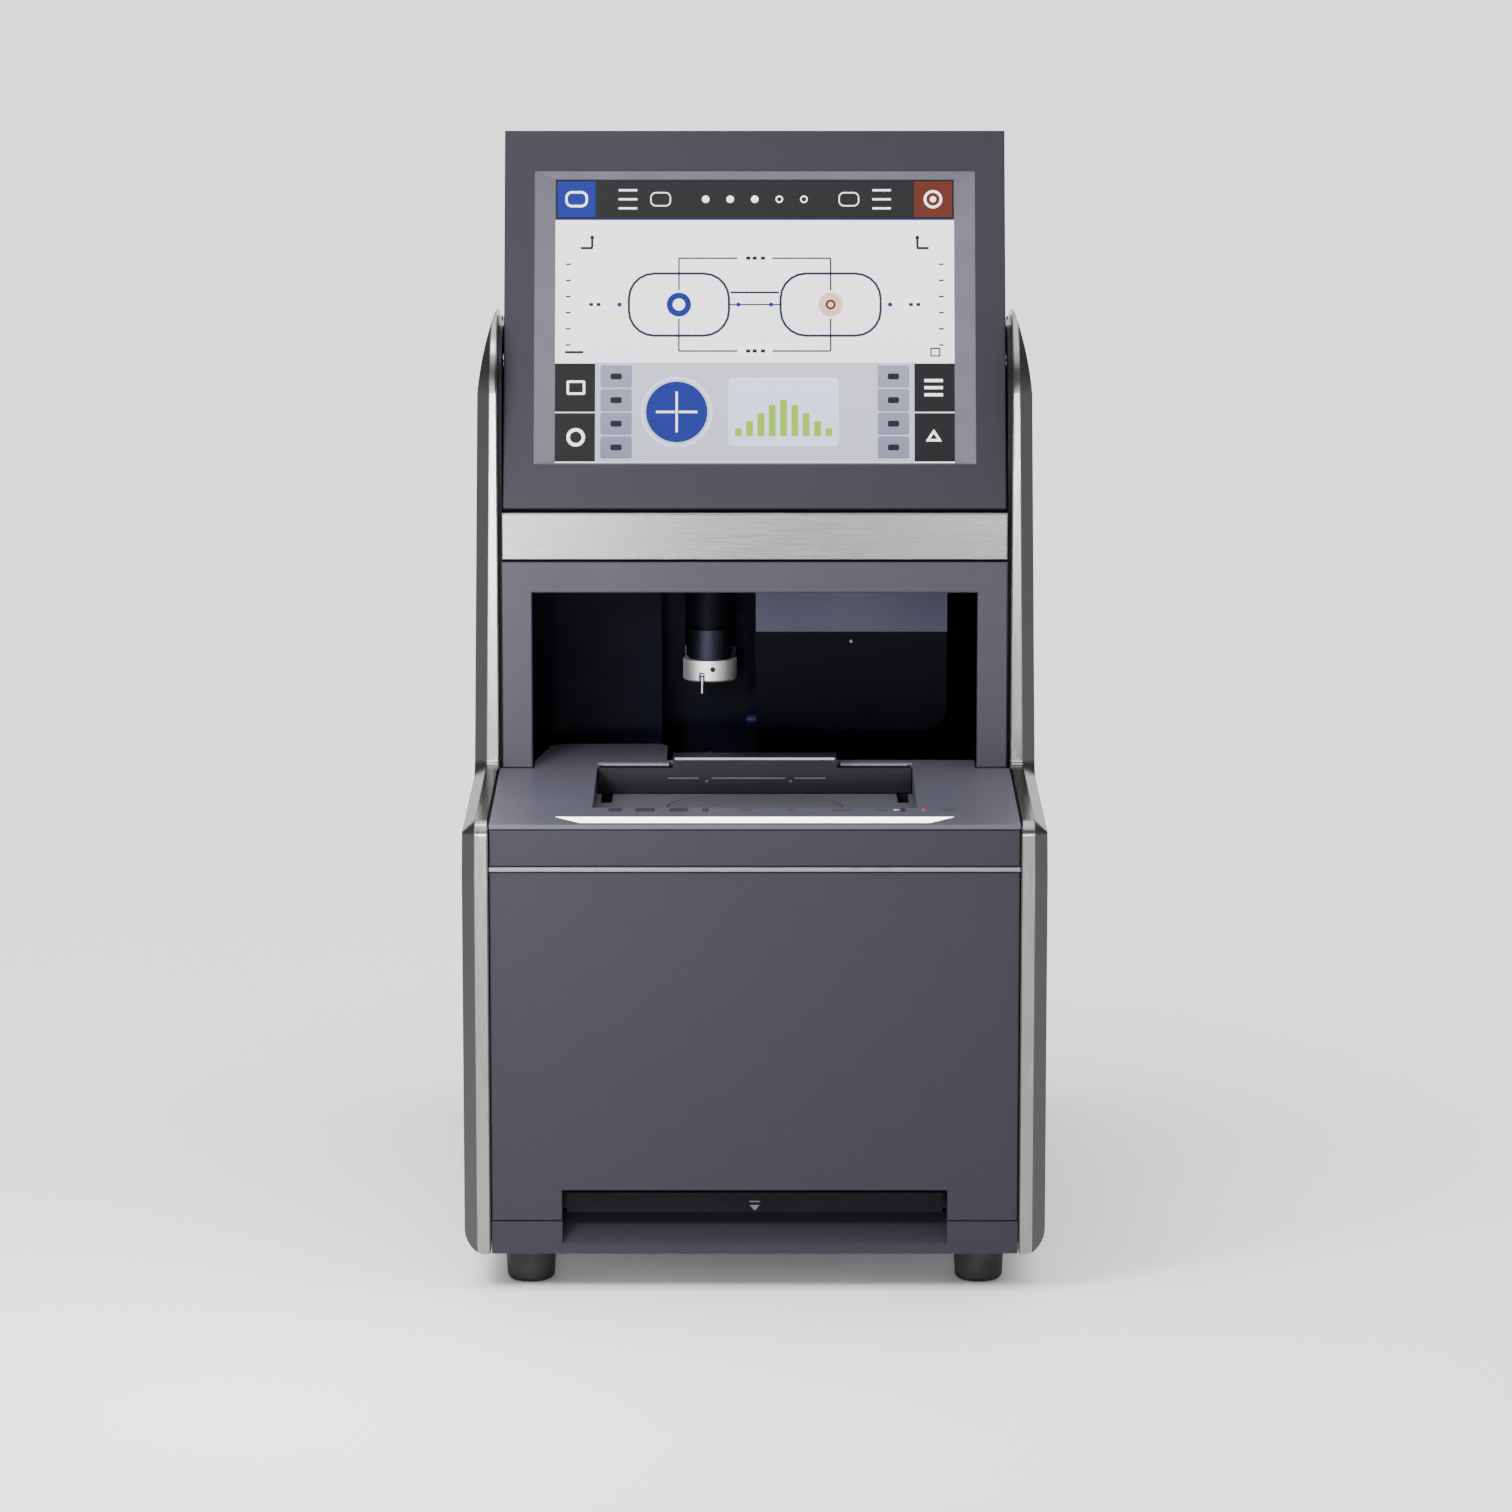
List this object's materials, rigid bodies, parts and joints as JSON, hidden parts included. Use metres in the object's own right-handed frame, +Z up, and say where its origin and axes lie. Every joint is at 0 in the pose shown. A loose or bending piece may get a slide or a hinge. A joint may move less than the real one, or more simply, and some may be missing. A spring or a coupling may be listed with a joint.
{
  "type": "lens tracer blocker",
  "caption": "Bench machine that traces and blocks spectacle lenses: tilting touch screen, open blocking bay with a press head, sloping tracer deck and storage drawer.",
  "frame": {"origin": "on the bench under the middle of the machine", "axes": "+X to the right seen from the front, +Y to the back, +Z up"},
  "size_m": [0.275, 0.455, 0.5398],
  "materials": {
    "graphite_paint": "fine satin paint",
    "rear_paint": "fine textured paint",
    "brushed_trim": "long brushed grain",
    "surround_paint": "satin",
    "screen": "lit display behind glass",
    "light": "lit diffuser",
    "zinc_steel": "zinc plated",
    "bay_black": "deep satin black",
    "band_grey": "satin",
    "smoked_gloss": "polished",
    "blue_glass": "coated lens",
    "camera_black": "black anodised",
    "bright_aluminium": "turned",
    "polished_steel": "ground",
    "bronze": "sintered",
    "cast_aluminium": "milled casting",
    "stage_grey": "satin",
    "jaw_black": "satin",
    "rubber_black": "matte",
    "tray_grey": "satin",
    "motor_black": "satin",
    "circuit_green": "lacquered board",
    "black_plastic": "moulded"
  },
  "bodies": {
    "machine": {"base_plate": "zinc_steel", "rubber_feet": "rubber_black", "screws": "zinc_steel", "side_covers": "graphite_paint", "side_trims": "brushed_trim", "chassis_plates": "zinc_steel", "front_sill": "graphite_paint", "front_fascia": "graphite_paint", "fascia_strip": "brushed_trim", "deck_panel": "graphite_paint", "light_bar": "light", "bay_bezel": "graphite_paint", "brushed_band": "brushed_trim", "well_panel": "zinc_steel", "top_cover": "rear_paint", "back_cover": "rear_paint", "slide_channels": "zinc_steel", "tracer_shelf": "zinc_steel", "tracer_frame": "cast_aluminium", "turn_bearing": "polished_steel", "tracer_stage": "stage_grey", "turn_belt": "rubber_black", "bay_liner": "bay_black", "lens_ring": "bay_black", "lens_camera": "camera_black", "drive_cover": "bay_black", "optics_housing": "bay_black", "optics_front": "smoked_gloss", "optics_band": "band_grey", "guide_lamp": "blue_glass", "column_bracket": "zinc_steel", "guide_rods": "polished_steel", "drive_motors": "motor_black", "hinge_bushes": "bronze", "power_supply": "motor_black", "main_board": "circuit_green", "rear_connectors": "black_plastic", "fan_frame": "black_plastic"},
    "monitor": {"monitor_bezel": "graphite_paint", "monitor_surround": "surround_paint", "display_module": "screen", "monitor_shell": "rear_paint", "hinge_pins": "polished_steel"},
    "drawer": {"drawer_front": "graphite_paint", "drawer_box": "tray_grey"},
    "release": {"release_bar": "jaw_black"},
    "head": {"head_carriage": "bay_black", "head_housing": "camera_black"},
    "screw": {"leadscrew": "polished_steel"},
    "chuck": {"chuck_ring": "bright_aluminium"},
    "lever": {"release_lever": "polished_steel"},
    "table": {"turntable": "bright_aluminium", "tracer_disc": "bright_aluminium"},
    "pulley": {"motor_pulley": "cast_aluminium"},
    "probe_slide": {"stylus_carriage": "cast_aluminium"},
    "probe": {"stylus": "polished_steel"},
    "jaw_rear": {"rear_jaw": "jaw_black"},
    "jaw_front": {"front_jaw": "jaw_black"},
    "rocker": {"power_rocker": "black_plastic"},
    "fan": {"fan_rotor": "black_plastic"}
  },
  "joints": [
    {"name": "monitor_tilt", "type": "hinge", "parent": "machine", "child": "monitor", "pos_m": [0, -0.0725, 0.4282], "axis": [-1, 0, 0], "range_deg": [-10, 25]},
    {"name": "drawer_slide", "type": "slide", "parent": "machine", "child": "drawer", "axis": [0, -1, 0], "range_m": [0, 0.14]},
    {"name": "release_press", "type": "slide", "parent": "drawer", "child": "release", "axis": [0, 1, 0], "range_m": [0, 0.003], "stiffness_N_per_m": 400, "springref_m": -0.002},
    {"name": "head_press", "type": "slide", "parent": "machine", "child": "head", "axis": [0, 0, -1], "range_m": [0, 0.03]},
    {"name": "leadscrew_turn", "type": "hinge", "parent": "machine", "child": "screw", "pos_m": [-0.0227, 0.056, 0.32], "axis": [0, 0, 1], "range_deg": [0, 2165]},
    {"name": "chuck_turn", "type": "hinge", "parent": "head", "child": "chuck", "pos_m": [-0.0227, -0.0075, 0.262], "axis": [0, 0, 1], "continuous": true},
    {"name": "lever_press", "type": "hinge", "parent": "chuck", "child": "lever", "pos_m": [-0.0266, -0.0165, 0.2654], "axis": [1, 0, 0], "range_deg": [0, 20], "stiffness_Nm_per_rad": 0.02, "springref_deg": -5.73},
    {"name": "turntable_turn", "type": "hinge", "parent": "machine", "child": "table", "pos_m": [0, -0.147, 0.2195], "axis": [0, 0, 1], "continuous": true},
    {"name": "motor_pulley_turn", "type": "hinge", "parent": "machine", "child": "pulley", "pos_m": [0.07, -0.147, 0.1704], "axis": [0, 0, 1], "continuous": true},
    {"name": "stylus_reach", "type": "slide", "parent": "table", "child": "probe_slide", "axis": [0, -1, 0], "range_m": [-0.026, 0]},
    {"name": "stylus_lift", "type": "slide", "parent": "probe_slide", "child": "probe", "axis": [0, 0, 1], "range_m": [0, 0.018]},
    {"name": "rear_jaw_slide", "type": "slide", "parent": "machine", "child": "jaw_rear", "axis": [0, 1, 0], "range_m": [-0.027, 0]},
    {"name": "front_jaw_slide", "type": "slide", "parent": "machine", "child": "jaw_front", "axis": [0, -1, 0], "range_m": [-0.027, 0]},
    {"name": "switch_rock", "type": "hinge", "parent": "machine", "child": "rocker", "pos_m": [-0.05, 0.2205, 0.0705], "axis": [1, 0, 0], "range_deg": [0, 16]},
    {"name": "fan_spin", "type": "hinge", "parent": "machine", "child": "fan", "pos_m": [0, 0.212, 0.2585], "axis": [0, 1, 0], "continuous": true}
  ],
  "couplings": [
    {"joint": "leadscrew_turn", "follows": "head_press", "rad_per_m": 1256.6},
    {"joint": "motor_pulley_turn", "follows": "turntable_turn", "ratio": 3.5556},
    {"joint": "front_jaw_slide", "follows": "rear_jaw_slide", "ratio": 1}
  ]
}
